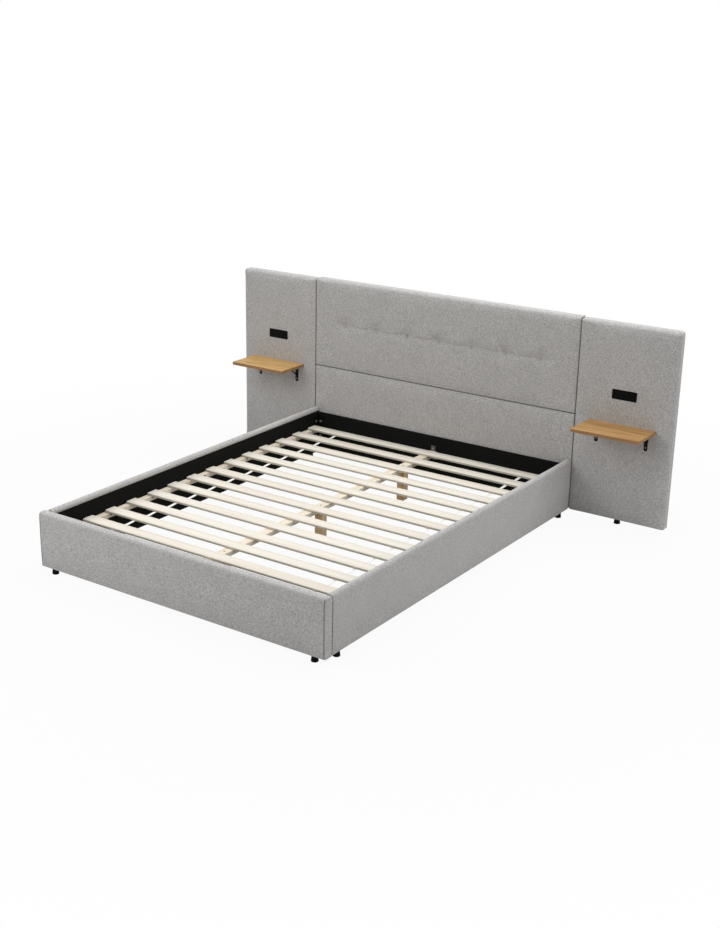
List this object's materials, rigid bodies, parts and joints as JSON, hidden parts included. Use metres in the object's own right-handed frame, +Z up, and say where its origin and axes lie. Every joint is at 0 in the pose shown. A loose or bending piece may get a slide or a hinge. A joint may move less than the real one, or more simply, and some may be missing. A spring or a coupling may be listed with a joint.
{
  "type": "bed with attached nightstands",
  "caption": "Upholstered platform bed with a wide tufted headboard, floating wooden bedside shelves on steel brackets, sockets above them and loose wooden slats over a centre beam.",
  "frame": {"origin": "on the floor, in the middle of the overall plan", "axes": "+X across the bed to the right as seen from its foot, +Y towards the headboard, +Z up"},
  "size_m": [2.409, 2.0232, 0.945],
  "materials": {
    "linen_cloth": "matt woven, warm light grey, over foam",
    "panel_board": "plain board, hidden under the padding",
    "black_lining": "matt non-woven",
    "black_board": "board with a matt black face",
    "slat_wood": "planed, pale cream",
    "beam_wood": "planed, pale tan",
    "shelf_oak": "light oak, satin, straight grain",
    "black_steel": "matt black",
    "zinc_steel": "zinc plated",
    "black_plastic": "fine matt texture",
    "white_ribbon": "woven ribbon",
    "circuit_green": "lacquered, hidden"
  },
  "bodies": {
    "root": {"footboard_upholstery": "linen_cloth", "left_rail_upholstery": "linen_cloth", "right_rail_upholstery": "linen_cloth", "upper_panel_pad": "linen_cloth", "lower_panel_pad": "linen_cloth", "left_wing_pad": "linen_cloth", "right_wing_pad": "linen_cloth", "footboard_board": "panel_board", "left_rail_board": "panel_board", "right_rail_board": "panel_board", "upper_panel_board": "panel_board", "lower_panel_board": "panel_board", "left_wing_board": "panel_board", "right_wing_board": "panel_board", "footboard_lining": "black_lining", "left_rail_lining": "black_lining", "right_rail_lining": "black_lining", "back_covers": "black_lining", "head_rail": "black_board", "slat_01": "slat_wood", "slat_02": "slat_wood", "slat_03": "slat_wood", "slat_04": "slat_wood", "slat_05": "slat_wood", "slat_06": "slat_wood", "slat_07": "slat_wood", "slat_08": "slat_wood", "slat_09": "slat_wood", "slat_10": "slat_wood", "slat_11": "slat_wood", "slat_12": "slat_wood", "slat_13": "slat_wood", "slat_14": "slat_wood", "left_ledger": "beam_wood", "right_ledger": "beam_wood", "centre_beam": "beam_wood", "centre_legs": "beam_wood", "left_shelf": "shelf_oak", "right_shelf": "shelf_oak", "corner_brackets": "black_steel", "head_rail_bolts": "black_steel", "ledger_screws": "black_steel", "left_shelf_brackets": "black_steel", "right_shelf_brackets": "black_steel", "joining_plates": "zinc_steel", "joining_screws": "zinc_steel", "beam_hangers": "zinc_steel", "hanger_screws": "zinc_steel", "corner_bolts": "zinc_steel", "leg_screws": "zinc_steel", "shelf_screws": "zinc_steel", "glide_studs": "zinc_steel", "left_socket_face": "black_plastic", "right_socket_face": "black_plastic", "left_socket_box": "black_plastic", "right_socket_box": "black_plastic", "glides": "black_plastic", "slat_ribbons": "white_ribbon", "socket_circuit_boards": "circuit_green"}
  },
  "joints": []
}
